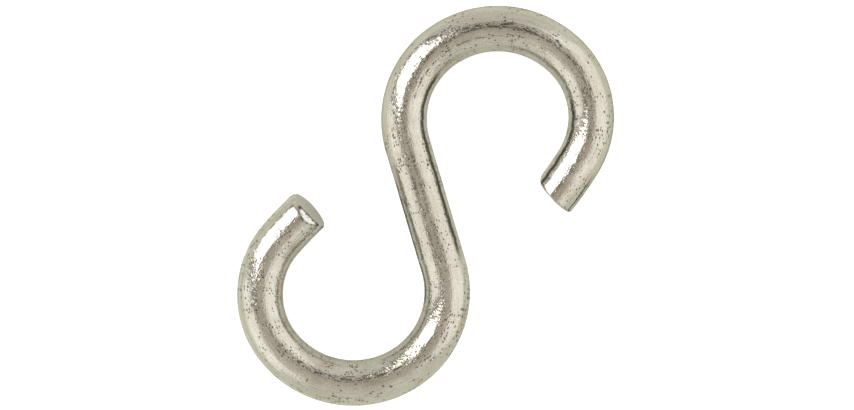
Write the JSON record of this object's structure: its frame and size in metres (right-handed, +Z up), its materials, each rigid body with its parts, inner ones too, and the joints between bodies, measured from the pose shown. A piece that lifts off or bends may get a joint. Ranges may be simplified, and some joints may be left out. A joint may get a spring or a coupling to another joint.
{
  "type": "s hook",
  "caption": "Open S hook bent from one length of round plated steel bar, for joining a chain, ring or cord to an eye.",
  "frame": {"origin": "on the surface that the hook lies on, under the middle of the shank", "axes": "+Y along the line of pull through both crowns towards the upper loop, +Z up off the surface, square to the plane in which the bar is bent"},
  "size_m": [0.0328, 0.0626, 0.0063],
  "materials": {
    "plated_steel": "bright zinc plate over drawn bar, warm grey, finely pitted"
  },
  "bodies": {
    "root": {"s_hook": "plated_steel"}
  },
  "joints": []
}
